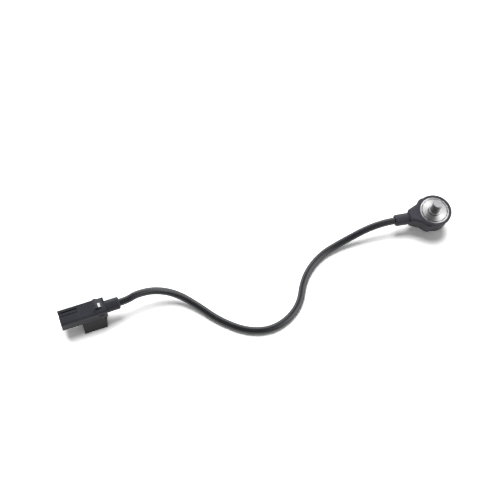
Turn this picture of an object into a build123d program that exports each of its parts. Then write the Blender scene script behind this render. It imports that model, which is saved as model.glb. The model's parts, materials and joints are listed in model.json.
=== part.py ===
from build123d import *
from math import pi, radians, tan
import os

# Engine knock sensor standing on its bolt head, with its cable and plug lying behind and before it.
# Millimetres. +Z is up, the floor is at zero, and the cable leaves the head along -X.

# How far a cut runs past the face that it opens, and how far a joined piece runs into its neighbour
PAST = 1.0
# How close two levels count as the same when edges are picked
NEAR = 0.01

# Levels of the head: the cable leaves at half the body's height
BOLT_HEAD_HEIGHT = 8.0
PUCK_HEIGHT = 15.0
PUCK_TOP = BOLT_HEAD_HEIGHT + PUCK_HEIGHT
CABLE_LEVEL = BOLT_HEAD_HEIGHT + PUCK_HEIGHT / 2

# Moulded housing: the rim, the boss and the stack inside follow the body's radius
BODY_TOP_R = 13.95
BODY_DRAFT = 1.25
BODY_LOW_R = BODY_TOP_R - BODY_DRAFT
BODY_LOW_ROUND = 0.6
LIP_OUT = 0.5
LIP_HEIGHT = 1.3
RIM_R = BODY_TOP_R + LIP_OUT
RIM_ROUND = 0.45
HOUSING_FOOT_GAP = 0.3
HOUSING_FOOT = BOLT_HEAD_HEIGHT + HOUSING_FOOT_GAP

# Reaches of the boss and the neck from the head's axis, set from the body's side
BOSS_PROUD = 7.55
BOSS_MID_BACK = 0.85
BOSS_SHOULDER_BACK = 3.55
BOSS_ROOT_BACK = 6.35
BOSS_END_REACH = BODY_TOP_R + BOSS_PROUD
BOSS_MID_REACH = BODY_TOP_R - BOSS_MID_BACK
BOSS_SHOULDER_REACH = BODY_TOP_R - BOSS_SHOULDER_BACK
BOSS_ROOT_REACH = BODY_TOP_R - BOSS_ROOT_BACK
NECK_R = 4.9
NECK_LONG = 12.1
NECK_BEVEL = 0.8
NECK_ROOT = 3.0
NECK_END_REACH = BOSS_END_REACH + NECK_LONG

# The head's axis stands where the middle of the head's box is over the origin
HEAD_X = (NECK_END_REACH - RIM_R) / 2
BOSS_END_X = HEAD_X - BOSS_END_REACH
NECK_END_X = HEAD_X - NECK_END_REACH

# Half widths of the boss at its top, its draft and its levels
BOSS_END_HALF = 5.3
BOSS_MID_HALF = 9.1
BOSS_SHOULDER_IN = 1.75
BOSS_ROOT_IN = 0.15
BOSS_AXIS_IN = 0.55
BOSS_SHOULDER_HALF = BODY_TOP_R - BOSS_SHOULDER_IN
BOSS_ROOT_HALF = BODY_TOP_R - BOSS_ROOT_IN
BOSS_AXIS_HALF = BODY_TOP_R - BOSS_AXIS_IN
BOSS_DRAFT = 1.25
BOSS_DROP = 0.3
BOSS_TOP = PUCK_TOP - BOSS_DROP
BOSS_LOW_GAP = 0.3
BOSS_LOW = HOUSING_FOOT + BOSS_LOW_GAP
BOSS_UNDER_NECK = 0.4
BOSS_END_LOW = CABLE_LEVEL - NECK_R - BOSS_UNDER_NECK
BOSS_BEVEL = 1.5
BOSS_LOW_BEVEL = 0.3

# Turned steel sleeve with its contact disc, round the bolt's thread
THREAD_R = 4.0
BORE_GAP = 0.2
BORE_R = THREAD_R + BORE_GAP
TUBE_WALL = 1.4
TUBE_R = BORE_R + TUBE_WALL
RIM_WIDE = 2.15
DISC_R = RIM_R - RIM_WIDE
DISC_DROP = 0.3
DISC_THICK = 2.4
DISC_BEVEL = 0.25
DISC_TOP = PUCK_TOP - DISC_DROP
DISC_LOW = DISC_TOP - DISC_THICK
COLLAR_WALL = 0.8
COLLAR_R = BORE_R + COLLAR_WALL
COLLAR_HEIGHT = 2.0
COLLAR_TOP = DISC_TOP + COLLAR_HEIGHT
COLLAR_BEVEL = 0.3
COLLAR_NECK_DEEP = 0.4
COLLAR_NECK_R = COLLAR_R - COLLAR_NECK_DEEP
COLLAR_NECK_HEIGHT = 0.6
GROOVE_INSET = 1.2
GROOVE_WIDE = 0.9
GROOVE_OUT_R = DISC_R - GROOVE_INSET
GROOVE_IN_R = GROOVE_OUT_R - GROOVE_WIDE
GROOVE_DEPTH = 0.35
CRIMP_COUNT = 16
CRIMP_LONG = 1.2
CRIMP_WIDE = 1.3
CRIMP_DEPTH = 0.3
CRIMP_INTO_GROOVE = 0.4
SEAL_SECTION_R = 0.44
SEAL_RISE = 0.9
SEAL_LEVEL = DISC_LOW + SEAL_RISE
SEAL_GROOVE_WIDE = 1.0
SEAL_GROOVE_DEEP = 0.85

# Stack inside the housing: its rings take shares of the room's width between liner and wall
CAVITY_GAP = 0.1
LINER_GAP = 0.05
LINER_WALL = 0.45
LINER_IN_R = TUBE_R + LINER_GAP
LINER_OUT_R = LINER_IN_R + LINER_WALL
STACK_GAP = 0.15
STACK_IN_R = LINER_OUT_R + STACK_GAP
BODY_WALL = 2.4
MASS_R = BODY_LOW_R - BODY_WALL
STACK_WIDE = MASS_R - STACK_IN_R
CONTACT_SHARE = 0.9
PIEZO_SHARE = 0.85
SPRING_SHARE = 0.6
NUT_SHARE = 0.65
NUT_SLOT_SHARE = 0.3
CONTACT_R = STACK_IN_R + CONTACT_SHARE * STACK_WIDE
PIEZO_R = STACK_IN_R + PIEZO_SHARE * STACK_WIDE
SPRING_R = STACK_IN_R + SPRING_SHARE * STACK_WIDE
NUT_R = STACK_IN_R + NUT_SHARE * STACK_WIDE
NUT_SLOT_WIDE = 2.0
NUT_SLOT_DEEP = NUT_SLOT_SHARE * STACK_WIDE

# Heights in the stack: the mass takes what the others leave between the disc and the nut
STACK_FOOT_GAP = 1.2
INSULATOR_THICK = 0.5
CONTACT_THICK = 0.5
PIEZO_THICK = 2.6
SPRING_THICK = 0.9
NUT_THICK = 2.0
STACK_END = BOLT_HEAD_HEIGHT + STACK_FOOT_GAP
TOP_NUT = STACK_END + NUT_THICK
TOP_SPRING = TOP_NUT + SPRING_THICK
TOP_DISC_CONTACT = DISC_LOW - INSULATOR_THICK
TOP_PIEZO = TOP_DISC_CONTACT - CONTACT_THICK
TOP_MASS_CONTACT = TOP_PIEZO - PIEZO_THICK
TOP_MASS = TOP_MASS_CONTACT - CONTACT_THICK - INSULATOR_THICK
MASS_THICK = TOP_MASS - TOP_SPRING
TAB_WIDE = 1.6
TAB_LONG = 1.5
TAB_REACH = CONTACT_R + TAB_LONG

# Bolt: its thread starts just above the collar
THREAD_PITCH = 1.25
THREAD_DEPTH = 0.55
THREAD_CREST = 0.4
THREAD_TURNS = 6
THREAD_RISE = 0.3
THREAD_START = COLLAR_TOP + THREAD_RISE
SHANK_SLIM = 0.4
SHANK_R = THREAD_R - SHANK_SLIM
STUD_PROUD = 9.5
STUD_TIP = COLLAR_TOP + STUD_PROUD
STUD_END_R = 3.0
FLANGE_R = 7.9
FLANGE_THICK = 1.8
FLANGE_BEVEL = 0.8
HEX_FLATS = 13.0
HEX_FACE_R = 6.15
HEX_BEVEL = 0.7
DISH_R = 4.6
DISH_DEEP = 0.4

# Leads, resistor and ferrule inside the boss and neck
LEAD_R = 0.55
LEAD_OFFSET = 1.4
LEAD_FLAT = 2.4
LEAD_SLOPE = 3.0
LEAD_RISE_X = HEAD_X - TAB_REACH - LEAD_FLAT
LEAD_TURN_X = LEAD_RISE_X - LEAD_SLOPE
LEAD_BEND_R = 3.0
RESISTOR_R = 0.9
RESISTOR_LONG = 4.4
RESISTOR_BACK = 2.6
RESISTOR_X = LEAD_TURN_X - RESISTOR_BACK
FERRULE_R = 2.9
FERRULE_WALL = 0.4
FERRULE_LONG = 3.0

# Cable
CABLE_R = 3.0
ARC_SHARE = 0.45

# Plug: its own axes start at the cable's end of the rear sleeve, and its nose lies towards -X
PLUG_X = -260.55
PLUG_Y = -30.33
PLUG_LEVEL = 16.7
PLUG_YAW = 8.3
NOSE_X = -47.9
SHELL_REAR_X = -11.3
SHELL_WIDE = 13.2
SHELL_TOP = 5.8
SHELL_LOW = -5.3
SHELL_ROUND = 2.2
SHELL_EDGE_ROUND = 0.8
SOCKET_DEEP = 16.0
SOCKET_WIDE = 9.0
SOCKET_TALL = 7.0
SOCKET_ROUND = 1.0
FINGER_Y = 2.4
FINGER_SLOT_WIDE = 3.6
FINGER_SLOT_LONG = 15.0
FINGER_WIDE = 2.2
FINGER_THICK = 1.1
FINGER_DROP = 0.5
FINGER_SHORT = 0.5
FINGER_ROOT = 0.5
TOOTH_X = 2.0
TOOTH_LONG = 2.5
TOOTH_TALL = 0.7
BRIDGE_START_X = -20.5
BRIDGE_PEAK_X = -18.4
BRIDGE_PEAK = 8.0
BRIDGE_END = 5.0
BRIDGE_FRONT_Y = -1.9
BRIDGE_BACK_Y = 6.3
BRIDGE_REAR_Y = 5.3
BRIDGE_LOW = -3.0
WINDOW_X = -16.2
WINDOW_Y = 0.3
WINDOW_LONG = 2.7
WINDOW_WIDE = 4.0
WINDOW_FLOOR = 1.3
RETAINER_GAP = 0.1
RETAINER_FRONT_GAP = 0.6
RETAINER_SIDE_GAP = 0.5
RETAINER_DROP = 0.3
NUB_X = -20.9
NUB_Y = -2.9
NUB_R = 0.8
NUB_TALL = 0.8
PAD_X = -15.9
PAD_LONG = 3.6
PAD_TALL = 6.4
PAD_PROUD = 0.5
PAD_LEVEL = -2.1

# Terminals, wires and seals inside the plug
POLE_OFFSET = 2.05
BLADE_WIDE = 2.8
BLADE_THICK = 0.8
BLADE_TIP_X = -41.5
BLADE_BEVEL = 0.3
BOX_FRONT_X = -29.3
BOX_REAR_X = -17.7
BOX_WIDE = 3.0
BOX_TALL = 3.4
BARREL_R = 1.05
BARREL_REAR_X = -13.9
WIRE_R = 0.75
WIRE_PITCH = 1.1
WIRE_TURN_X = -8.8
WIRE_JOIN_X = -3.0
WIRE_BEND_R = 4.0
SEAL_R = 1.85
SEAL_FRONT_X = -13.7
PLUG_GAP = 0.1

# Rear sleeve of the plug
BOOT_R = 4.95
BOOT_BORE_R = 3.2
BOOT_END_WALL = 1.5
BOOT_BEVEL = 0.8

# Mounting clip under the plug
CLIP_FRONT_X = -32.3
CLIP_LOW_REAR_X = -13.8
CLIP_TOP_REAR_X = -12.1
CLIP_TOP_FRONT_Y = -5.7
CLIP_TOP_BACK_Y = 5.7
CLIP_LOW_FRONT_Y = -10.1
CLIP_LOW_BACK_Y = 7.6
RAIL_WIDE = 6.4
RAIL_DEEP = 1.8
CLIP_NOTCHES = ((-23.1, 3.6, 0.8), (-14.2, 3.6, 1.7))
CLIP_NOTCH_DEEP = 1.2

# Corners of the cable's route, from the neck to the plug
CABLE_POINTS = (
    (NECK_END_X, 0.0, CABLE_LEVEL),
    (-39.9, 0.0, CABLE_LEVEL),
    (-71.3, -6.9, 5.5),
    (-91.8, -14.5, CABLE_R),
    (-109.1, -31.2, CABLE_R),
    (-118.1, -55.7, CABLE_R),
    (-139.7, -70.5, CABLE_R),
    (-162.9, -69.4, CABLE_R),
    (-184.6, -56.0, CABLE_R),
    (-199.8, -40.2, 5.0),
    (-215.2, -27.9, 9.8),
    (-231.6, -24.7, 14.9),
    (-247.29, -28.396, PLUG_LEVEL),
    (PLUG_X, PLUG_Y, PLUG_LEVEL),
)

os.makedirs("parts", exist_ok=True)

PLUG = Location((PLUG_X, PLUG_Y, PLUG_LEVEL), (0, 0, PLUG_YAW))


def head_at(level):
    """A point on the head's axis."""
    return Location((HEAD_X, 0, level))


def ring(outer, inner, low, thick):
    """A flat ring on the head's axis."""
    face = Circle(outer) - Circle(inner)
    return head_at(low) * extrude(face, thick)


def turned(points):
    """A solid turned about the head's axis from radius and height points."""
    outline = Polyline([(r, 0, z) for r, z in points], close=True)
    solid = revolve(make_face(outline), Axis.Z)
    return Location((HEAD_X, 0, 0)) * solid


def rod(radius, path):
    """A round rod along a path."""
    end = Plane(origin=path @ 0, z_dir=path % 0)
    return sweep(end * Circle(radius), path)


def block(x_low, x_high, y_low, y_high, z_low, z_high):
    """A plain block between six values."""
    size = (x_high - x_low, y_high - y_low, z_high - z_low)
    middle = ((x_low + x_high) / 2, (y_low + y_high) / 2, (z_low + z_high) / 2)
    return Location(middle) * Box(*size)


def boss_outline(level, inset, end_inset=0.0):
    """The boss's outline at one level: tapering sides, shoulders, and ends inside the round body."""
    half = [
        (BOSS_END_X + end_inset, BOSS_END_HALF - inset),
        (HEAD_X - BOSS_MID_REACH, BOSS_MID_HALF - inset),
        (HEAD_X - BOSS_SHOULDER_REACH, BOSS_SHOULDER_HALF - inset),
        (HEAD_X - BOSS_ROOT_REACH, BOSS_ROOT_HALF - inset),
        (HEAD_X, BOSS_AXIS_HALF - inset),
    ]
    other = [(x, -y) for x, y in reversed(half)]
    return Location((0, 0, level)) * make_face(Polyline(*half, *other, close=True))


def boss():
    """The block between the round body and the neck: drafted sides, bevelled top, rising foot."""
    widest = boss_outline(BOSS_TOP - BOSS_BEVEL, 0)
    solid = loft([boss_outline(BOSS_LOW, BOSS_DRAFT), widest])
    solid += loft([widest, boss_outline(BOSS_TOP, BOSS_BEVEL, BOSS_BEVEL)])
    side = make_face(Plane.XZ * Polyline(
        (HEAD_X, BOSS_LOW),
        (HEAD_X, BOSS_TOP),
        (BOSS_END_X, BOSS_TOP),
        (BOSS_END_X, BOSS_END_LOW),
        close=True,
    ))
    solid &= extrude(side, BODY_TOP_R, both=True)
    low = [e for e in solid.edges() if e.center().Z < BOSS_END_LOW + NEAR]
    return chamfer([e for e in low if e.center().X < HEAD_X - NEAR], BOSS_LOW_BEVEL)


def neck():
    """The round sleeve that holds the cable."""
    length = BOSS_END_X - NECK_END_X + NECK_ROOT
    solid = Location((NECK_END_X, 0, CABLE_LEVEL), (0, 90, 0)) * extrude(Circle(NECK_R), length)
    end = [e for e in solid.edges() if e.center().X < NECK_END_X + NEAR]
    return chamfer(end, NECK_BEVEL)


def round_body():
    """The round body with its rim and the step under the rim."""
    step = PUCK_TOP - LIP_HEIGHT
    solid = turned([
        (0, HOUSING_FOOT),
        (BODY_LOW_R, HOUSING_FOOT),
        (BODY_TOP_R, step),
        (RIM_R, step),
        (RIM_R, PUCK_TOP),
        (0, PUCK_TOP),
    ])
    for level, radius in ((HOUSING_FOOT, BODY_LOW_ROUND), (PUCK_TOP, RIM_ROUND)):
        solid = fillet([e for e in solid.edges() if abs(e.center().Z - level) < NEAR], radius)
    return solid


def stack_room():
    """The room that the sleeve and its stack take inside the housing."""
    wide = MASS_R + CAVITY_GAP
    narrow = NUT_R + CAVITY_GAP
    return turned([
        (0, 0),
        (TUBE_R + CAVITY_GAP, 0),
        (TUBE_R + CAVITY_GAP, STACK_END),
        (narrow, STACK_END),
        (narrow, TOP_SPRING),
        (wide, TOP_SPRING),
        (wide, DISC_LOW),
        (DISC_R + CAVITY_GAP, DISC_LOW),
        (DISC_R + CAVITY_GAP, PUCK_TOP + PAST),
        (0, PUCK_TOP + PAST),
    ])


def contact_tab(side, top, gap=0.0):
    """The tongue of a contact ring, towards the boss."""
    return block(
        HEAD_X - TAB_REACH - gap, HEAD_X - CONTACT_R + PAST,
        side * LEAD_OFFSET - TAB_WIDE / 2 - gap, side * LEAD_OFFSET + TAB_WIDE / 2 + gap,
        top - CONTACT_THICK - gap, top + gap,
    )


def lead(side, top, gap=0.0):
    """One lead from the end of the neck to the end of a contact's tongue."""
    level = top - CONTACT_THICK / 2
    y = side * LEAD_OFFSET
    path = FilletPolyline(
        (NECK_END_X, y, CABLE_LEVEL),
        (LEAD_TURN_X, y, CABLE_LEVEL),
        (LEAD_RISE_X, y, level),
        (HEAD_X - TAB_REACH, y, level),
        radius=LEAD_BEND_R,
    )
    return rod(LEAD_R + gap, path)


def resistor(gap=0.0):
    """The shunt resistor lying across under both leads."""
    level = CABLE_LEVEL - LEAD_R - RESISTOR_R - CAVITY_GAP
    length = RESISTOR_LONG + 2 * gap
    bar = extrude(Circle(RESISTOR_R + gap), length)
    return Location((RESISTOR_X, length / 2, level), (90, 0, 0)) * bar


def ferrule_room():
    """The counterbore in the neck's end for the ferrule."""
    bar = extrude(Circle(FERRULE_R + CAVITY_GAP / 2), FERRULE_LONG)
    return Location((NECK_END_X, 0, CABLE_LEVEL), (0, 90, 0)) * bar


def housing():
    solid = round_body() + boss() + neck()
    solid -= stack_room()
    for side, top in ((1, TOP_DISC_CONTACT), (-1, TOP_MASS_CONTACT)):
        solid -= contact_tab(side, top, CAVITY_GAP)
        solid -= lead(side, top, CAVITY_GAP)
    return solid - resistor(CAVITY_GAP) - ferrule_room()


def ferrule():
    face = Circle(FERRULE_R) - Circle(FERRULE_R - FERRULE_WALL)
    return Location((NECK_END_X, 0, CABLE_LEVEL), (0, 90, 0)) * extrude(face, FERRULE_LONG)


def mounting_sleeve():
    """Disc, collar and tube in one turned piece, with a ring of crimp marks."""
    groove_low = SEAL_LEVEL - SEAL_GROOVE_WIDE / 2
    groove_high = SEAL_LEVEL + SEAL_GROOVE_WIDE / 2
    solid = turned([
        (BORE_R, BOLT_HEAD_HEIGHT),
        (TUBE_R, BOLT_HEAD_HEIGHT),
        (TUBE_R, DISC_LOW),
        (DISC_R, DISC_LOW),
        (DISC_R, groove_low),
        (DISC_R - SEAL_GROOVE_DEEP, groove_low),
        (DISC_R - SEAL_GROOVE_DEEP, groove_high),
        (DISC_R, groove_high),
        (DISC_R, DISC_TOP - DISC_BEVEL),
        (DISC_R - DISC_BEVEL, DISC_TOP),
        (GROOVE_OUT_R, DISC_TOP),
        (GROOVE_OUT_R, DISC_TOP - GROOVE_DEPTH),
        (GROOVE_IN_R, DISC_TOP - GROOVE_DEPTH),
        (GROOVE_IN_R, DISC_TOP),
        (COLLAR_NECK_R, DISC_TOP),
        (COLLAR_NECK_R, DISC_TOP + COLLAR_NECK_HEIGHT),
        (COLLAR_R, DISC_TOP + COLLAR_NECK_HEIGHT),
        (COLLAR_R, COLLAR_TOP - COLLAR_BEVEL),
        (COLLAR_R - COLLAR_BEVEL, COLLAR_TOP),
        (BORE_R, COLLAR_TOP),
    ])
    mark = Box(CRIMP_LONG, CRIMP_WIDE, 2 * CRIMP_DEPTH)
    radius = GROOVE_OUT_R + CRIMP_LONG / 2 - CRIMP_INTO_GROOVE
    for spot in PolarLocations(radius, CRIMP_COUNT):
        solid -= head_at(DISC_TOP) * spot * mark
    return solid


def seal_ring():
    middle = DISC_R - SEAL_GROOVE_DEEP + SEAL_SECTION_R
    section = Plane.XZ * Location((middle, SEAL_LEVEL)) * Circle(SEAL_SECTION_R)
    return Location((HEAD_X, 0, 0)) * revolve(section, Axis.Z)


def contact(side, top):
    """A contact ring with its tongue."""
    return ring(CONTACT_R, STACK_IN_R, top - CONTACT_THICK, CONTACT_THICK) + contact_tab(side, top)


def disc_spring():
    """A coned washer between the mass and the nut."""
    thick = SPRING_THICK / 2
    return turned([
        (STACK_IN_R, TOP_NUT),
        (SPRING_R, TOP_SPRING - thick),
        (SPRING_R, TOP_SPRING),
        (STACK_IN_R, TOP_NUT + thick),
    ])


def ring_nut():
    """The ring nut with four key slots."""
    solid = ring(NUT_R, LINER_IN_R, STACK_END, NUT_THICK)
    slot = Box(2 * NUT_SLOT_DEEP, NUT_SLOT_WIDE, 3 * NUT_THICK)
    for spot in PolarLocations(NUT_R, 4):
        solid -= head_at(STACK_END) * spot * slot
    return solid


def flange_bolt():
    """The bolt with its flanged six-sided head, waisted shank and thread."""
    flange = turned([
        (0, BOLT_HEAD_HEIGHT - FLANGE_THICK),
        (FLANGE_R - FLANGE_BEVEL, BOLT_HEAD_HEIGHT - FLANGE_THICK),
        (FLANGE_R, BOLT_HEAD_HEIGHT - FLANGE_THICK + FLANGE_BEVEL),
        (FLANGE_R, BOLT_HEAD_HEIGHT),
        (0, BOLT_HEAD_HEIGHT),
    ])
    hex_face = RegularPolygon(HEX_FLATS / 2, 6, major_radius=False)
    hexagon = head_at(0) * extrude(hex_face, BOLT_HEAD_HEIGHT - FLANGE_THICK / 2)
    bevel = turned([
        (DISH_R, 0),
        (HEX_FACE_R, 0),
        (FLANGE_R, HEX_BEVEL),
        (FLANGE_R, BOLT_HEAD_HEIGHT),
        (0, BOLT_HEAD_HEIGHT),
        (0, DISH_DEEP),
    ])
    shank_low = BOLT_HEAD_HEIGHT - FLANGE_THICK
    points = [(0, shank_low), (SHANK_R, shank_low), (SHANK_R, THREAD_START)]
    for turn in range(THREAD_TURNS):
        level = THREAD_START + turn * THREAD_PITCH
        points.append((THREAD_R, level))
        points.append((THREAD_R, level + THREAD_CREST))
        points.append((THREAD_R - THREAD_DEPTH, level + (THREAD_PITCH + THREAD_CREST) / 2))
    thread_top = THREAD_START + THREAD_TURNS * THREAD_PITCH
    points += [
        (THREAD_R, thread_top),
        (THREAD_R, thread_top + THREAD_CREST),
        (STUD_END_R, STUD_TIP),
        (0, STUD_TIP),
    ]
    return flange + (hexagon & bevel) + turned(points)


def cable_path():
    """Straight runs joined by arcs that touch them."""
    points = [Vector(*p) for p in CABLE_POINTS]
    radii = []
    for before, here, after in zip(points, points[1:], points[2:]):
        arriving = here - before
        leaving = after - here
        turn = radians(arriving.get_angle(leaving))
        radii.append(ARC_SHARE * min(arriving.length, leaving.length) / tan(turn / 2))
    print("arc radii", [round(r, 1) for r in radii])
    return FilletPolyline(*points, radius=radii)


def cable():
    path = cable_path()
    solid = rod(CABLE_R, path)
    print("cable length", round(path.length, 1))
    print("volume over section by length", round(solid.volume / (path.length * pi * CABLE_R**2), 4))
    return solid


def ramp_level(x):
    """Height of the bridge's sloping top at a place along the plug."""
    share = (x - BRIDGE_PEAK_X) / (SHELL_REAR_X - BRIDGE_PEAK_X)
    return BRIDGE_PEAK + share * (BRIDGE_END - BRIDGE_PEAK)


def bridge():
    """The raised bridge at the rear of the shell, falling towards the cable."""
    side = make_face(Plane.XZ * Polyline(
        (BRIDGE_START_X, SHELL_TOP),
        (BRIDGE_PEAK_X, BRIDGE_PEAK),
        (SHELL_REAR_X, BRIDGE_END),
        (SHELL_REAR_X, BRIDGE_LOW),
        (BRIDGE_START_X, BRIDGE_LOW),
        close=True,
    ))
    plan = make_face(Polyline(
        (BRIDGE_START_X, BRIDGE_FRONT_Y),
        (SHELL_REAR_X, BRIDGE_FRONT_Y),
        (SHELL_REAR_X, BRIDGE_REAR_Y),
        (BRIDGE_PEAK_X, BRIDGE_BACK_Y),
        (BRIDGE_START_X, BRIDGE_BACK_Y),
        close=True,
    ))
    return extrude(side, SHELL_WIDE, both=True) & extrude(plan, 2 * BRIDGE_PEAK, both=True)


def finger():
    """The springy lock finger in the top wall, with the tooth under its tip."""
    top = SHELL_TOP - FINGER_DROP
    bar = block(
        NOSE_X + FINGER_SHORT, NOSE_X + FINGER_SLOT_LONG + FINGER_ROOT,
        FINGER_Y - FINGER_WIDE / 2, FINGER_Y + FINGER_WIDE / 2,
        top - FINGER_THICK, top,
    )
    low = top - FINGER_THICK
    tooth = make_face(Plane.XZ * Polyline(
        (NOSE_X + TOOTH_X, low),
        (NOSE_X + TOOTH_X + TOOTH_LONG, low),
        (NOSE_X + TOOTH_X + TOOTH_LONG, low - TOOTH_TALL),
        close=True,
    ))
    tooth = Location((0, FINGER_Y, 0)) * extrude(tooth, FINGER_WIDE / 2, both=True)
    return bar + tooth


def pole_room(y):
    """The room in the shell for one terminal, its wire and its seal."""
    blade = block(
        NOSE_X + SOCKET_DEEP - PAST, BOX_FRONT_X + PAST,
        y - BLADE_WIDE / 2 - PLUG_GAP, y + BLADE_WIDE / 2 + PLUG_GAP,
        -BLADE_THICK / 2 - PLUG_GAP, BLADE_THICK / 2 + PLUG_GAP,
    )
    box = block(
        BOX_FRONT_X - PLUG_GAP, BOX_REAR_X + PLUG_GAP,
        y - BOX_WIDE / 2 - PLUG_GAP, y + BOX_WIDE / 2 + PLUG_GAP,
        -BOX_TALL / 2 - PLUG_GAP, BOX_TALL / 2 + PLUG_GAP,
    )
    barrel = along_plug(BARREL_R + PLUG_GAP, BOX_REAR_X, SHELL_REAR_X, y)
    seal = along_plug(SEAL_R + PLUG_GAP, SEAL_FRONT_X - PLUG_GAP, SHELL_REAR_X, y)
    return blade + box + barrel + seal


def along_plug(radius, x_low, x_high, y=0.0):
    """A round bar along the plug."""
    return Location((x_low, y, 0), (0, 90, 0)) * extrude(Circle(radius), x_high - x_low)


def connector_shell():
    solid = block(NOSE_X, SHELL_REAR_X, -SHELL_WIDE / 2, SHELL_WIDE / 2, SHELL_LOW, SHELL_TOP)
    along = solid.edges().filter_by(Axis.X)
    solid = fillet([e for e in along if e.center().Y < 0 < e.center().Z], SHELL_ROUND)
    along = [e for e in solid.edges().filter_by(Axis.X) if abs(e.center().Y) > SHELL_WIDE / 2 - NEAR]
    corners = [e for e in along if e.center().Z < SHELL_LOW + NEAR or e.center().Z > SHELL_TOP - NEAR]
    solid = fillet(corners, SHELL_EDGE_ROUND)
    solid += bridge()
    solid += block(
        PAD_X - PAD_LONG / 2, PAD_X + PAD_LONG / 2,
        -SHELL_WIDE / 2 - PAD_PROUD, -SHELL_WIDE / 2 + SHELL_ROUND,
        PAD_LEVEL - PAD_TALL / 2, PAD_LEVEL + PAD_TALL / 2,
    )
    solid += Location((NUB_X, NUB_Y, SHELL_TOP - NUB_TALL)) * extrude(Circle(NUB_R), 2 * NUB_TALL)
    socket = block(
        NOSE_X - PAST, NOSE_X + SOCKET_DEEP,
        -SOCKET_WIDE / 2, SOCKET_WIDE / 2, -SOCKET_TALL / 2, SOCKET_TALL / 2,
    )
    solid -= fillet(socket.edges().filter_by(Axis.X), SOCKET_ROUND)
    solid -= block(
        NOSE_X - PAST, NOSE_X + FINGER_SLOT_LONG,
        FINGER_Y - FINGER_SLOT_WIDE / 2, FINGER_Y + FINGER_SLOT_WIDE / 2,
        0, SHELL_TOP + PAST,
    )
    solid += finger()
    for side in (-1, 1):
        solid -= pole_room(side * POLE_OFFSET)
    solid -= block(
        WINDOW_X - WINDOW_LONG / 2, WINDOW_X + WINDOW_LONG / 2,
        WINDOW_Y - WINDOW_WIDE / 2, WINDOW_Y + WINDOW_WIDE / 2,
        WINDOW_FLOOR, BRIDGE_PEAK + PAST,
    )
    return PLUG * solid


def terminal_retainer():
    """The pale block in the bridge's window that keeps both terminals in."""
    front = WINDOW_X - WINDOW_LONG / 2 + RETAINER_FRONT_GAP
    rear = WINDOW_X + WINDOW_LONG / 2 - RETAINER_GAP
    side = make_face(Plane.XZ * Polyline(
        (front, WINDOW_FLOOR),
        (rear, WINDOW_FLOOR),
        (rear, ramp_level(rear) - RETAINER_DROP),
        (front, ramp_level(front) - RETAINER_DROP),
        close=True,
    ))
    wide = WINDOW_WIDE - RETAINER_GAP - RETAINER_SIDE_GAP
    solid = extrude(side, wide / 2, both=True)
    middle = WINDOW_Y + (RETAINER_SIDE_GAP - RETAINER_GAP) / 2
    return PLUG * Location((0, middle, 0)) * solid


def terminal(side):
    """A flat blade with its box and the barrel crimped on the wire."""
    y = side * POLE_OFFSET
    blade = block(
        BLADE_TIP_X, BOX_FRONT_X + PAST,
        y - BLADE_WIDE / 2, y + BLADE_WIDE / 2, -BLADE_THICK / 2, BLADE_THICK / 2,
    )
    tip = [e for e in blade.edges() if abs(e.center().X - BLADE_TIP_X) < NEAR]
    blade = chamfer(tip, BLADE_BEVEL)
    box = block(
        BOX_FRONT_X, BOX_REAR_X, y - BOX_WIDE / 2, y + BOX_WIDE / 2, -BOX_TALL / 2, BOX_TALL / 2,
    )
    return PLUG * (blade + box + along_plug(BARREL_R, BOX_REAR_X - PAST, BARREL_REAR_X, y))


def wire(side):
    """A wire from the terminal's barrel to the end of the cable."""
    path = FilletPolyline(
        (BARREL_REAR_X, side * POLE_OFFSET, 0),
        (WIRE_TURN_X, side * POLE_OFFSET, 0),
        (WIRE_JOIN_X, side * WIRE_PITCH, 0),
        (0, side * WIRE_PITCH, 0),
        radius=WIRE_BEND_R,
    )
    return PLUG * rod(WIRE_R, path)


def wire_seal(side):
    y = side * POLE_OFFSET
    body = along_plug(SEAL_R, SEAL_FRONT_X, SHELL_REAR_X, y)
    hole = along_plug(WIRE_R + PLUG_GAP / 2, SEAL_FRONT_X - PAST, SHELL_REAR_X + PAST, y)
    return PLUG * (body - hole)


def rear_sleeve():
    """The sleeve over the wires behind the shell."""
    solid = along_plug(BOOT_R, SHELL_REAR_X, 0)
    end = [e for e in solid.edges() if abs(e.center().X) < NEAR]
    solid = chamfer(end, BOOT_BEVEL)
    solid -= along_plug(BOOT_BORE_R, SHELL_REAR_X - PAST, -BOOT_END_WALL)
    for side in (-1, 1):
        solid -= along_plug(WIRE_R + PLUG_GAP / 2, -BOOT_END_WALL - PAST, PAST, side * WIRE_PITCH)
    return PLUG * solid


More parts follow.
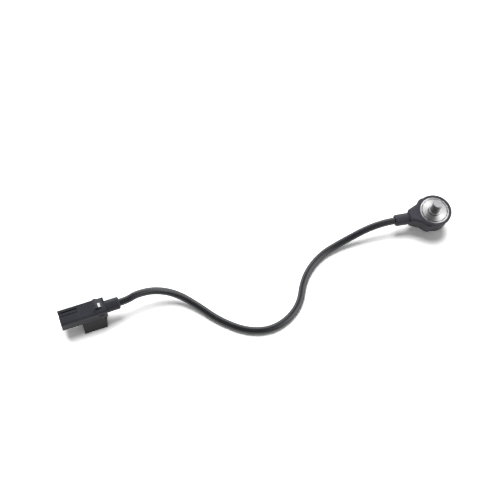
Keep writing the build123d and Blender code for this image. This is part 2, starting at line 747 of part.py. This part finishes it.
def mounting_clip():
    """The flared foot under the shell, with a rail groove below and two gaps at its upper edge."""
    top = Location((0, 0, SHELL_LOW)) * make_face(Polyline(
        (CLIP_FRONT_X, CLIP_TOP_FRONT_Y),
        (CLIP_TOP_REAR_X, CLIP_TOP_FRONT_Y),
        (CLIP_TOP_REAR_X, CLIP_TOP_BACK_Y),
        (CLIP_FRONT_X, CLIP_TOP_BACK_Y),
        close=True,
    ))
    low = Location((0, 0, -PLUG_LEVEL)) * make_face(Polyline(
        (CLIP_FRONT_X, CLIP_LOW_FRONT_Y),
        (CLIP_LOW_REAR_X, CLIP_LOW_FRONT_Y),
        (CLIP_LOW_REAR_X, CLIP_LOW_BACK_Y),
        (CLIP_FRONT_X, CLIP_LOW_BACK_Y),
        close=True,
    ))
    solid = loft([low, top])
    middle = (CLIP_LOW_FRONT_Y + CLIP_LOW_BACK_Y) / 2
    solid -= block(
        CLIP_FRONT_X - PAST, CLIP_TOP_REAR_X + PAST,
        middle - RAIL_WIDE / 2, middle + RAIL_WIDE / 2,
        -PLUG_LEVEL - PAST, -PLUG_LEVEL + RAIL_DEEP,
    )
    for x, long, tall in CLIP_NOTCHES:
        solid -= block(
            x - long / 2, x + long / 2,
            CLIP_LOW_FRONT_Y, CLIP_TOP_FRONT_Y + CLIP_NOTCH_DEEP,
            SHELL_LOW - tall, SHELL_LOW + PAST,
        )
    return PLUG * solid


pieces = {
    "housing": housing(),
    "mounting_sleeve": mounting_sleeve(),
    "seal_ring": seal_ring(),
    "insulating_tube": ring(LINER_OUT_R, LINER_IN_R, TOP_MASS, DISC_LOW - TOP_MASS),
    "disc_insulator": ring(CONTACT_R, STACK_IN_R, DISC_LOW - INSULATOR_THICK, INSULATOR_THICK),
    "disc_contact": contact(1, TOP_DISC_CONTACT),
    "piezo_ring": ring(PIEZO_R, STACK_IN_R, TOP_PIEZO - PIEZO_THICK, PIEZO_THICK),
    "mass_contact": contact(-1, TOP_MASS_CONTACT),
    "mass_insulator": ring(CONTACT_R, STACK_IN_R, TOP_MASS, INSULATOR_THICK),
    "seismic_mass": ring(MASS_R, STACK_IN_R, TOP_MASS - MASS_THICK, MASS_THICK),
    "disc_spring": disc_spring(),
    "ring_nut": ring_nut(),
    "flange_bolt": flange_bolt(),
    "ground_lead": lead(1, TOP_DISC_CONTACT),
    "signal_lead": lead(-1, TOP_MASS_CONTACT),
    "shunt_resistor": resistor(),
    "cable_ferrule": ferrule(),
    "cable": cable(),
    "connector_shell": connector_shell(),
    "terminal_retainer": terminal_retainer(),
    "signal_terminal": terminal(-1),
    "ground_terminal": terminal(1),
    "signal_wire": wire(-1),
    "ground_wire": wire(1),
    "signal_wire_seal": wire_seal(-1),
    "ground_wire_seal": wire_seal(1),
    "rear_sleeve": rear_sleeve(),
    "mounting_clip": mounting_clip(),
}

for name, shape in pieces.items():
    export_step(shape, f"parts/{name}.step")
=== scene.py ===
import json
import math

import bpy
from mathutils import Matrix, Vector


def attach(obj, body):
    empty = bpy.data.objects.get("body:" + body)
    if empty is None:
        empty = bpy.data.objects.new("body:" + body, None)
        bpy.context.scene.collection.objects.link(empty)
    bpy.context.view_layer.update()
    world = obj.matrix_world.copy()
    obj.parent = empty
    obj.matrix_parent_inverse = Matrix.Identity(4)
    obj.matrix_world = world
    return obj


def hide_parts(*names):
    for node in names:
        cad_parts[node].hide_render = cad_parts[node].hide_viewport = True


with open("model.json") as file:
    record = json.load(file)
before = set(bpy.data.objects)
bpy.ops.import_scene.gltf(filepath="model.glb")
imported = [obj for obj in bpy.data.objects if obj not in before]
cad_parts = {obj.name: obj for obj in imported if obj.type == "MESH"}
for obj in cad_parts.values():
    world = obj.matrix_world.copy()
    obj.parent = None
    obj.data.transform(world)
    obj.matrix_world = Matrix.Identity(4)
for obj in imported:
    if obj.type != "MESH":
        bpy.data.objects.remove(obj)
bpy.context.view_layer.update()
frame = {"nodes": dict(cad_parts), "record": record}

# Places and sizes from the part's source, in metres
HEAD_X = 0.009575
NECK_END_X = -0.024025
CABLE_LEVEL = 0.0155
CABLE_R = 0.003
PLUG_PLACE = (-0.26055, -0.03033, 0.0167)
CABLE_POINTS = (
    (NECK_END_X, 0.0, CABLE_LEVEL),
    (-0.0399, 0.0, CABLE_LEVEL),
    (-0.0713, -0.0069, 0.0055),
    (-0.0918, -0.0145, CABLE_R),
    (-0.1091, -0.0312, CABLE_R),
    (-0.1181, -0.0557, CABLE_R),
    (-0.1397, -0.0705, CABLE_R),
    (-0.1629, -0.0694, CABLE_R),
    (-0.1846, -0.0556, CABLE_R),
    (-0.1998, -0.0397, 0.0050),
    (-0.2152, -0.0279, 0.0098),
    (-0.2316, -0.0243, 0.0153),
    (-0.2465, -0.0262, 0.0177),
    (-0.2540, -0.02937, 0.0167),
    PLUG_PLACE,
)

# The cable's smoothness: the curve's order, its steps from point to point, and its roundness
CABLE_ORDER = 3
CABLE_STEPS = 24
CABLE_ROUND = 8

# Disc: its crimp groove, and its collar, whose neck gets painted shade that fades out between two
# heights above the disc
DISC_TOP = 0.0227
COLLAR_R = 0.0050
COLLAR_FOOT = 0.0006
NECK_SHADE_FULL = 0.0005
NECK_SHADE_END = 0.0007
GROOVE_R = 0.01065
GROOVE_HALF = 0.00045
GROOVE_SOFT = 0.3

# Bolt: its six-sided head from below, with a dished face and a bevel
DISH_FLOOR_R = 0.0018
DISH_DEPTH = 0.0004
DISH_R = 0.0044
DISH_EDGE_R = 0.0049
DISH_EDGE_DEPTH = 0.00005
FACE_R = 0.0061
BEVEL_SPREAD = 1.75
BEVEL_STEP = 0.0001
BEVEL_STEPS = 11
BEVEL_TOP = 0.0030
HEX_HALF = 0.0065
HEAD_HEIGHT = 0.0080

# Bolt: its flange, with an inset from the rim and a rise from below, or a drop from the top
FLANGE_R = 0.0079
FLANGE_THICK = 0.0018
FLANGE_BELOW = ((0.0008, 0.0), (0.0002, 0.0005), (0.0, 0.0009))
FLANGE_ABOVE = ((0.0, 0.0003), (0.0002, 0.0))

# Bolt: its shank, its thread with root and flanks as shares of the pitch, and its bevelled end
SHANK_R = 0.0036
SHANK_END = 0.0006
THREAD_R = 0.0040
THREAD_PITCH = 0.00125
THREAD_DEPTH = 0.00062
THREAD_LOW = 0.0240
THREAD_ROOT = 0.12
THREAD_FLANK = 0.6
THREAD_STEPS = 140
STUD_TIP = 0.0342
TIP_BEVEL = 0.0006
TIP_FACE_R = 0.0021
HAIR = 0.00005
BOLT_SIDES = 96
SHARP_EDGE = 28

# Patterns in the materials, as noise scales per metre
PLASTIC_PATCH = 1 / 0.012
PLASTIC_GRAIN = 1 / 0.00012
RUBBER_CLOUD = 55
RUBBER_GRAIN = 5200
RUBBER_DUST = 900
TURNED_RING = 9000
TURNED_BAND = 700
TURNED_STAIN = 160
CRIMP_MARK = 620
PLATED_CLOUD = 420
PLATED_CELL = 1260
CERAMIC_SPECKLE = 2500
FLOOR_CLOUD = 3

# Depth of the patterns' relief, in metres
PLASTIC_GRAIN_DEPTH = 0.000012
RUBBER_GRAIN_DEPTH = 0.000010
TURNED_RING_DEPTH = 0.000004
TURNED_BAND_DEPTH = 0.000010
PLATED_CLOUD_DEPTH = 0.00002
PLATED_CELL_DEPTH = 0.000010
CERAMIC_DEPTH = 0.000006

# What lies over a material: factors for its colour under dust, under painted shade in the disc's
# groove and at the collar's neck, and under painted shade up the stud
DUST_TINT = 3.0
DUST_SHARE = 0.25
DISC_SHADE_TINT = 0.16
STUD_SHADE_TINT = 0.12

# The turned steel's sheen across its rings, and its turn as a share of a circle
SHEEN = 0.95
SHEEN_TURN = 0.25

# Floor: its size, its grey, and how much brighter the camera and reflections see it
FLOOR_HALF = 4
FLOOR_GREYS = (0.79, 0.81)
FLOOR_GAIN = 1.12
FLOOR_MIRROR_GAIN = 0.1

# Room: its even light, and its brightness in reflections. That falls off toward one side overhead
# and one low on the near side, between two cosines of the angle to it.
ROOM_SOFT = 0.21
ROOM_BRIGHT = 1.6
ROOM_DARK = 0.16
DARK_SIDE = (-0.38, -0.03, 0.924)
DARK_EDGE = (0.61, 0.71)
NEAR_SIDE = (-0.32, -0.947, 0.0)
NEAR_EDGE = (0.30, 0.55)

# Lamp: one broad soft light from above and behind
LAMP_ENERGY = 2.6
LAMP_SPREAD = 36
LAMP_WAY = (0.06, -0.42, -1.0)

# Camera at the photograph's angle
CAMERA_PLACE = (-0.251559, -0.307933, 0.67862)
CAMERA_RIGHT = (0.9761, -0.2104, 0.0541)
CAMERA_BACK = (-0.1388, -0.4125, 0.9003)
CAMERA_SENSOR = 36.0
CAMERA_LENS = 64.8
CAMERA_NEAR = 0.01
CAMERA_FAR = 20


def tint(color, factor):
    return tuple(min(1.0, c * factor) for c in color)


class Nodes:
    """The node tree of a material or a world, with short calls for adding and linking nodes."""

    def __init__(self, owner, output="ShaderNodeOutputMaterial"):
        owner.use_nodes = True
        self.owner = owner
        self.tree = owner.node_tree
        self.tree.nodes.clear()
        self.output = self.add(output)

    def add(self, kind, **values):
        node = self.tree.nodes.new(kind)
        for key, value in values.items():
            setattr(node, key, value)
        return node

    def link(self, out_socket, in_socket):
        self.tree.links.new(out_socket, in_socket)

    def place(self, shift=(0, 0, 0)):
        """The object's own coordinates in metres, shifted."""
        coords = self.add("ShaderNodeTexCoord")
        mapping = self.add("ShaderNodeMapping")
        mapping.inputs["Location"].default_value = shift
        self.link(coords.outputs["Object"], mapping.inputs["Vector"])
        return mapping.outputs["Vector"]

    def head_place(self):
        """The place seen from the head's axis, its distance from that axis, and its height."""
        place = self.place(shift=(-HEAD_X, 0, 0))
        parts = self.add("ShaderNodeSeparateXYZ")
        self.link(place, parts.inputs["Vector"])
        across = self.math("POWER", parts.outputs["X"], 2)
        along = self.math("POWER", parts.outputs["Y"], 2)
        radius = self.math("SQRT", self.math("ADD", across, along))
        return place, radius, parts.outputs["Z"]

    def noise(self, vector, scale, detail, rough=0.55):
        node = self.add("ShaderNodeTexNoise")
        node.inputs["Scale"].default_value = scale
        node.inputs["Detail"].default_value = detail
        node.inputs["Roughness"].default_value = rough
        self.link(vector, node.inputs["Vector"])
        return node.outputs["Fac"]

    def spread(self, value, low, high, from_low=0.3, from_high=0.7):
        node = self.add("ShaderNodeMapRange")
        node.inputs["From Min"].default_value = from_low
        node.inputs["From Max"].default_value = from_high
        node.inputs["To Min"].default_value = low
        node.inputs["To Max"].default_value = high
        self.link(value, node.inputs["Value"])
        return node.outputs["Result"]

    def shades(self, value, color, first, *between, last):
        """Shades of one colour by value. Each stop gives a value and the factor for the colour."""
        node = self.add("ShaderNodeValToRGB")
        points = node.color_ramp.elements
        for point, (position, factor) in zip(points, (first, last)):
            point.position = position
            point.color = (*tint(color, factor), 1)
        for position, factor in between:
            points.new(position).color = (*tint(color, factor), 1)
        self.link(value, node.inputs["Fac"])
        return node.outputs["Color"]

    def math(self, operation, first, second=None):
        node = self.add("ShaderNodeMath", operation=operation)
        for socket, value in zip(node.inputs, (first, second)):
            if value is None:
                continue
            if isinstance(value, (int, float)):
                socket.default_value = value
            else:
                self.link(value, socket)
        return node.outputs[0]

    def share(self, first, second, part):
        """A sum of two values, of which the first has the given share."""
        return self.math("ADD", self.math("MULTIPLY", first, part),
                         self.math("MULTIPLY", second, 1 - part))

    def blend(self, factor, color, over):
        """A colour with a fixed one laid over it by a factor."""
        node = self.add("ShaderNodeMix", data_type="RGBA")
        self.link(factor, node.inputs["Factor"])
        self.link(color, node.inputs["A"])
        node.inputs["B"].default_value = (*over, 1)
        return node.outputs["Result"]

    def bump(self, height, distance, strength=1.0, after=None):
        node = self.add("ShaderNodeBump")
        node.inputs["Strength"].default_value = strength
        node.inputs["Distance"].default_value = distance
        self.link(height, node.inputs["Height"])
        if after is not None:
            self.link(after, node.inputs["Normal"])
        return node.outputs["Normal"]

    def surface(self, color, rough, normal, **fixed):
        shader = self.add("ShaderNodeBsdfPrincipled")
        for name, value in fixed.items():
            shader.inputs[name.replace("_", " ")].default_value = value
        self.link(color, shader.inputs["Base Color"])
        self.link(rough, shader.inputs["Roughness"])
        self.link(normal, shader.inputs["Normal"])
        self.link(shader.outputs["BSDF"], self.output.inputs["Surface"])
        return shader

    def seen_by(self):
        """Whether the camera sees the place, and whether a reflection or clear piece shows it."""
        path = self.add("ShaderNodeLightPath")
        mirrored = self.math("MAXIMUM", path.outputs["Is Glossy Ray"],
                             path.outputs["Is Transmission Ray"])
        return path.outputs["Is Camera Ray"], mirrored


def new_material(name):
    return Nodes(bpy.data.materials.new(name))


def moulded_plastic(name, color, rough, gloss=0.5):
    """Moulded plastic with a fine spark-eroded grain and faint patches of handling."""
    n = new_material(name)
    place = n.place()
    patches = n.noise(place, PLASTIC_PATCH, 4)
    fine = n.noise(place, PLASTIC_GRAIN, 2, 0.6)
    shade = n.shades(patches, color, (0.3, 0.82), (0.5, 1.0), last=(0.75, 1.25))
    roughness = n.spread(n.share(fine, patches, 0.4), rough - 0.07, rough + 0.07)
    n.surface(shade, roughness, n.bump(fine, PLASTIC_GRAIN_DEPTH), Specular_IOR_Level=gloss)
    return n.owner


def rubber(name, color, rough, gloss=0.5):
    """Satin rubber or a cable's jacket, with faint clouds, a fine grain and light dust."""
    n = new_material(name)
    place = n.place()
    cloud = n.noise(place, RUBBER_CLOUD, 5)
    fine = n.noise(place, RUBBER_GRAIN, 2, 0.6)
    dust = n.noise(place, RUBBER_DUST, 4, 0.7)
    shade = n.shades(cloud, color, (0.3, 0.8), (0.55, 1.0), last=(0.8, 1.35))
    speck = n.math("MULTIPLY", n.spread(dust, 0.0, 1.0, 0.66, 0.74), DUST_SHARE)
    dusty = n.blend(speck, shade, tint(color, DUST_TINT))
    roughness = n.spread(cloud, rough - 0.06, rough + 0.08)
    n.surface(dusty, roughness, n.bump(fine, RUBBER_GRAIN_DEPTH), Specular_IOR_Level=gloss)
    return n.owner


def turned_steel(name, color, rough):
    """Steel faced on a lathe: fine rings round the axis, and a sheen that spreads across them.
    The crimp groove, but for some brighter gaps, and the neck under the collar's top are darkened
    with painted shade."""
    n = new_material(name)
    place, radius, height = n.head_place()
    rings = n.add("ShaderNodeCombineXYZ")
    n.link(radius, rings.inputs["X"])
    n.link(n.math("MULTIPLY", height, 0.5), rings.inputs["Y"])
    fine = n.noise(rings.outputs["Vector"], TURNED_RING, 3, 0.7)
    broad = n.noise(rings.outputs["Vector"], TURNED_BAND, 2)
    stain = n.noise(place, TURNED_STAIN, 5, 0.6)
    shade = n.shades(n.share(stain, fine, 0.5), color, (0.3, 0.86), (0.5, 1.0), last=(0.7, 1.06))
    # Painted shade: the crimp groove darkens, broken into brighter gaps by noise, and so does the
    # collar's neck below its top.
    from_groove = n.math("ABSOLUTE", n.math("SUBTRACT", radius, GROOVE_R))
    in_groove = n.spread(from_groove, 1.0, 0.0,
                         GROOVE_HALF * (1 - GROOVE_SOFT), GROOVE_HALF * (1 + GROOVE_SOFT))
    groove_shade_breaks = n.spread(n.noise(place, CRIMP_MARK, 2), 0.35, 1.0, 0.42, 0.58)
    at_collar = n.spread(radius, 1.0, 0.0, COLLAR_R, COLLAR_R + COLLAR_FOOT)
    under_top = n.spread(height, 1.0, 0.0, DISC_TOP + NECK_SHADE_FULL, DISC_TOP + NECK_SHADE_END)
    disc_shade = n.math("MAXIMUM", n.math("MULTIPLY", in_groove, groove_shade_breaks),
                  n.math("MULTIPLY", at_collar, under_top))
    roughness = n.spread(n.share(broad, stain, 0.5), rough - 0.05, rough + 0.08)
    normal = n.bump(broad, TURNED_BAND_DEPTH, after=n.bump(fine, TURNED_RING_DEPTH))
    shader = n.surface(n.blend(disc_shade, shade, tint(color, DISC_SHADE_TINT)), roughness, normal,
                       Metallic=1.0, Anisotropic=SHEEN, Anisotropic_Rotation=SHEEN_TURN)
    tangent = n.add("ShaderNodeTangent", direction_type="RADIAL", axis="Z")
    n.link(tangent.outputs["Tangent"], shader.inputs["Tangent"])
    return n.owner


def plated_steel(name, color, rough):
    """Plated steel: a crystalline mottle and duller patches."""
    n = new_material(name)
    place = n.place()
    cloud = n.noise(place, PLATED_CLOUD, 5, 0.65)
    cells = n.add("ShaderNodeTexVoronoi")
    cells.inputs["Scale"].default_value = PLATED_CELL
    n.link(place, cells.inputs["Vector"])
    shade = n.shades(cloud, color, (0.3, 0.78), (0.5, 1.0), last=(0.72, 1.12))
    roughness = n.spread(cloud, rough - 0.08, rough + 0.1)
    normal = n.bump(cells.outputs["Distance"], PLATED_CELL_DEPTH, 0.6,
                    n.bump(cloud, PLATED_CLOUD_DEPTH))
    n.surface(shade, roughness, normal, Metallic=1.0)
    return n.owner


def bolt_steel(name, color, rough):
    """Zinc plated steel: bright at its head and its cut end, with painted shade up the stud
    that is darkest in the thread's roots."""
    n = new_material(name)
    place, radius, height = n.head_place()
    # Painted shade: the stud darkens between the head and the cut end's bevel, darkest in the
    # thread's roots.
    root = n.spread(radius, 1.0, 0.0, THREAD_R - THREAD_DEPTH, THREAD_R - HAIR)
    below_tip = n.spread(height, 1.0, 0.0, STUD_TIP - TIP_BEVEL, STUD_TIP - HAIR)
    above_head = n.spread(height, 0.0, 1.0, HEAD_HEIGHT, THREAD_LOW)
    stud_shade = n.math("MULTIPLY", n.math("MULTIPLY", below_tip, above_head), n.share(root, 1.0, 0.5))
    cloud = n.noise(place, PLATED_CLOUD, 5, 0.65)
    shade = n.shades(cloud, color, (0.3, 0.82), (0.5, 1.0), last=(0.72, 1.1))
    roughness = n.spread(cloud, rough - 0.08, rough + 0.1)
    n.surface(n.blend(stud_shade, shade, tint(color, STUD_SHADE_TINT)), roughness,
              n.bump(cloud, PLATED_CLOUD_DEPTH), Metallic=1.0)
    return n.owner


def ceramic(name, color, rough):
    """Fired ceramic or lacquer with a faint speckle."""
    n = new_material(name)
    speckle = n.noise(n.place(), CERAMIC_SPECKLE, 3, 0.7)
    shade = n.shades(speckle, color, (0.35, 0.85), (0.55, 1.0), last=(0.7, 1.05))
    roughness = n.spread(speckle, rough - 0.05, rough + 0.08)
    n.surface(shade, roughness, n.bump(speckle, CERAMIC_DEPTH))
    return n.owner


def white_floor(name):
    """A pale floor. Camera and reflections see it brighter, so it is white beside the shadow."""
    n = new_material(name)
    cloud = n.noise(n.place(), FLOOR_CLOUD, 3)
    shade = n.shades(cloud, (1, 1, 1), (0.3, FLOOR_GREYS[0]), last=(0.7, FLOOR_GREYS[1]))
    diffuse = n.add("ShaderNodeBsdfDiffuse")
    n.link(shade, diffuse.inputs["Color"])
    by_camera, mirrored = n.seen_by()
    seen = n.math("ADD", n.math("MULTIPLY", by_camera, FLOOR_GAIN),
                  n.math("MULTIPLY", mirrored, FLOOR_MIRROR_GAIN))
    gain = n.add("ShaderNodeCombineColor")
    for channel in ("Red", "Green", "Blue"):
        n.link(seen, gain.inputs[channel])
    extra = n.add("ShaderNodeBsdfDiffuse")
    n.link(gain.outputs["Color"], extra.inputs["Color"])
    both = n.add("ShaderNodeAddShader")
    n.link(diffuse.outputs["BSDF"], both.inputs[0])
    n.link(extra.outputs["BSDF"], both.inputs[1])
    n.link(both.outputs["Shader"], n.output.inputs["Surface"])
    return n.owner


def dark_toward(n, way, side, edge):
    """The room's brightness in reflections, which falls off toward one side."""
    toward = n.add("ShaderNodeVectorMath", operation="DOT_PRODUCT")
    n.link(way, toward.inputs[0])
    toward.inputs[1].default_value = side
    return n.spread(toward.outputs["Value"], ROOM_BRIGHT, ROOM_DARK, *edge)


def pale_room(name):
    """A room that is white to the camera and even for light. Reflections see it with dark sides."""
    n = Nodes(bpy.data.worlds.new(name), "ShaderNodeOutputWorld")
    by_camera, mirrored = n.seen_by()
    way = n.add("ShaderNodeTexCoord").outputs["Generated"]
    shade = n.math("MINIMUM", dark_toward(n, way, DARK_SIDE, DARK_EDGE),
                   dark_toward(n, way, NEAR_SIDE, NEAR_EDGE))
    reflected = n.math("MULTIPLY", mirrored, shade)
    even = n.math("MULTIPLY", n.math("SUBTRACT", 1.0, mirrored), ROOM_SOFT)
    background = n.add("ShaderNodeBackground")
    background.inputs["Color"].default_value = (1, 1, 1, 1)
    n.link(n.math("MAXIMUM", n.math("ADD", reflected, even), by_camera),
           background.inputs["Strength"])
    n.link(background.outputs["Background"], n.output.inputs["Surface"])
    return n.owner


def add_object(name, data):
    piece = bpy.data.objects.new(name, data)
    bpy.context.collection.objects.link(piece)
    return piece


def thread_radius(angle, level):
    """The stud's radius by angle and level: flat crests, sloping flanks and narrow roots."""
    turn = (level / THREAD_PITCH - angle / (2 * math.pi)) % 1.0
    away = abs(turn - 0.5) * 2
    depth = THREAD_DEPTH * (1 - min(1.0, max(0.0, (away - THREAD_ROOT) / THREAD_FLANK)))
    runout = min(1.0, max(0.0, (level - THREAD_LOW) / THREAD_PITCH))
    tip = THREAD_R - max(0.0, level - (STUD_TIP - TIP_BEVEL))
    return min(THREAD_R - depth * runout, tip)


def plain(radius):
    """The same radius at every angle."""
    return lambda angle: radius


def hexagon(limit=math.inf):
    """Radius of the six-sided head by angle, no larger than the cone of its bevel."""
    def radius_at(angle):
        part = (angle + math.pi / 6) % (math.pi / 3) - math.pi / 6
        return min(HEX_HALF / math.cos(part), limit)
    return radius_at


def lathe_mesh(name, rows, sides):
    """A closed mesh from rows of points round the head's axis. Each row gives the radius by angle,
    and a level."""
    verts = []
    faces = []
    for radius_at, level in rows:
        for i in range(sides):
            angle = 2 * math.pi * i / sides
            radius = radius_at(angle)
            verts.append((HEAD_X + radius * math.cos(angle), radius * math.sin(angle), level))
    for row in range(len(rows) - 1):
        for i in range(sides):
            j = (i + 1) % sides
            a = row * sides
            b = a + sides
            faces.append((a + i, a + j, b + j, b + i))
    for row, flip in ((0, True), (len(rows) - 1, False)):
        middle = len(verts)
        verts.append((HEAD_X, 0, rows[row][1]))
        for i in range(sides):
            j = (i + 1) % sides
            face = (row * sides + i, row * sides + j, middle)
            faces.append(tuple(reversed(face)) if flip else face)
    mesh = bpy.data.meshes.new(name)
    mesh.from_pydata(verts, [], faces)
    mesh.validate()
    for polygon in mesh.polygons:
        polygon.use_smooth = True
    mesh.set_sharp_from_angle(angle=math.radians(SHARP_EDGE))
    return add_object(name, mesh)


def bolt():
    """The bolt: dished and bevelled six-sided head, flange, shank, spiral thread, bevelled end."""
    rows = [
        (plain(DISH_FLOOR_R), DISH_DEPTH),
        (plain(DISH_R), DISH_DEPTH),
        (plain(DISH_EDGE_R), DISH_EDGE_DEPTH),
        (plain(FACE_R), 0.0),
    ]
    for step in range(1, BEVEL_STEPS + 1):
        level = BEVEL_STEP * step
        rows.append((hexagon(FACE_R + level * BEVEL_SPREAD), level))
    rows += [(hexagon(), BEVEL_TOP), (hexagon(), HEAD_HEIGHT - FLANGE_THICK)]
    for inset, rise in FLANGE_BELOW:
        rows.append((plain(FLANGE_R - inset), HEAD_HEIGHT - FLANGE_THICK + rise))
    for inset, drop in FLANGE_ABOVE:
        rows.append((plain(FLANGE_R - inset), HEAD_HEIGHT - drop))
    rows += [(plain(SHANK_R), HEAD_HEIGHT), (plain(SHANK_R), THREAD_LOW - SHANK_END)]
    for step in range(THREAD_STEPS + 1):
        level = THREAD_LOW + (STUD_TIP - THREAD_LOW) * step / THREAD_STEPS
        rows.append((lambda angle, z=level: thread_radius(angle, z), level))
    rows.append((plain(TIP_FACE_R), STUD_TIP))
    return lathe_mesh("bolt", rows, BOLT_SIDES)


def cable():
    """The cable as one smooth open curve from the neck to the plug."""
    curve = bpy.data.curves.new("cable_line", "CURVE")
    curve.dimensions = "3D"
    line = curve.splines.new("NURBS")
    line.points.add(len(CABLE_POINTS) - 1)
    for point, place in zip(line.points, CABLE_POINTS):
        point.co = (*place, 1)
    line.order_u = CABLE_ORDER
    line.use_endpoint_u = True
    line.resolution_u = CABLE_STEPS
    curve.bevel_depth = CABLE_R
    curve.bevel_resolution = CABLE_ROUND
    return add_object("cable_jacket", curve)


# Materials: what makes each, its slot, its colour and roughness, and a gloss of its own
LOOKS = (
    (moulded_plastic, "housing_plastic", (0.036, 0.035, 0.047), 0.50, 0.6),
    (turned_steel, "turned_steel", (0.90, 0.90, 0.90), 0.38),
    (rubber, "seal_rubber", (0.02, 0.02, 0.02), 0.6),
    (ceramic, "insulator_film", (0.62, 0.40, 0.12), 0.3),
    (plated_steel, "contact_brass", (0.75, 0.56, 0.25), 0.3),
    (ceramic, "piezo_ceramic", (0.72, 0.68, 0.58), 0.4),
    (plated_steel, "mass_steel", (0.32, 0.32, 0.33), 0.45),
    (plated_steel, "spring_steel", (0.5, 0.5, 0.52), 0.35),
    (bolt_steel, "bolt_steel", (0.55, 0.55, 0.56), 0.36),
    (ceramic, "resistor_body", (0.2, 0.3, 0.4), 0.3),
    (rubber, "cable_rubber", (0.014, 0.015, 0.020), 0.28, 1.0),
    (moulded_plastic, "shell_plastic", (0.023, 0.024, 0.032), 0.48, 0.7),
    (moulded_plastic, "retainer_plastic", (0.93, 0.93, 0.92), 0.4),
    (plated_steel, "terminal_tin", (0.74, 0.74, 0.72), 0.25),
    (rubber, "wire_red", (0.4, 0.03, 0.02), 0.4),
    (rubber, "wire_grey", (0.3, 0.3, 0.3), 0.4),
    (rubber, "sleeve_rubber", (0.032, 0.033, 0.042), 0.48),
    (moulded_plastic, "clip_plastic", (0.040, 0.040, 0.041), 0.5),
)
looks = {slot: make(slot, *values) for make, slot, *values in LOOKS}


def dress(piece, slot):
    piece.data.materials.clear()
    piece.data.materials.append(looks[slot])


# The head, the plug and what is inside them keep their CAD shapes
for part in frame["record"]["subparts"]:
    dress(frame["nodes"][part["node"]], part["material_slot"])

stud = bolt()
dress(stud, "bolt_steel")
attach(stud, "root")
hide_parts("flange_bolt")

jacket = cable()
dress(jacket, "cable_rubber")
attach(jacket, "root")
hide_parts("cable")

# Floor, room and lamp
corners = [(x * FLOOR_HALF, y * FLOOR_HALF, 0) for x, y in ((-1, -1), (1, -1), (1, 1), (-1, 1))]
floor_mesh = bpy.data.meshes.new("floor")
floor_mesh.from_pydata(corners, [], [(0, 1, 2, 3)])
floor = add_object("floor", floor_mesh)
floor.data.materials.append(white_floor("pale_floor"))

bpy.context.scene.world = pale_room("studio")

lamp_data = bpy.data.lights.new("soft_lamp", "SUN")
lamp_data.energy = LAMP_ENERGY
lamp_data.angle = math.radians(LAMP_SPREAD)
lamp = add_object("soft_lamp", lamp_data)
lamp.visible_glossy = False
lamp.rotation_mode = "QUATERNION"
lamp.rotation_quaternion = Vector(LAMP_WAY).to_track_quat("-Z", "Y")

# Camera
camera_data = bpy.data.cameras.new("camera")
camera_data.sensor_width = CAMERA_SENSOR
camera_data.lens = CAMERA_LENS
camera_data.clip_start = CAMERA_NEAR
camera_data.clip_end = CAMERA_FAR
camera = add_object("camera", camera_data)
right = Vector(CAMERA_RIGHT).normalized()
back = Vector(CAMERA_BACK).normalized()
up = back.cross(right).normalized()
turn = Matrix((right, up, back)).transposed().to_4x4()
camera.matrix_world = Matrix.Translation(CAMERA_PLACE) @ turn
bpy.context.scene.camera = camera
bpy.context.scene.view_settings.view_transform = "Standard"
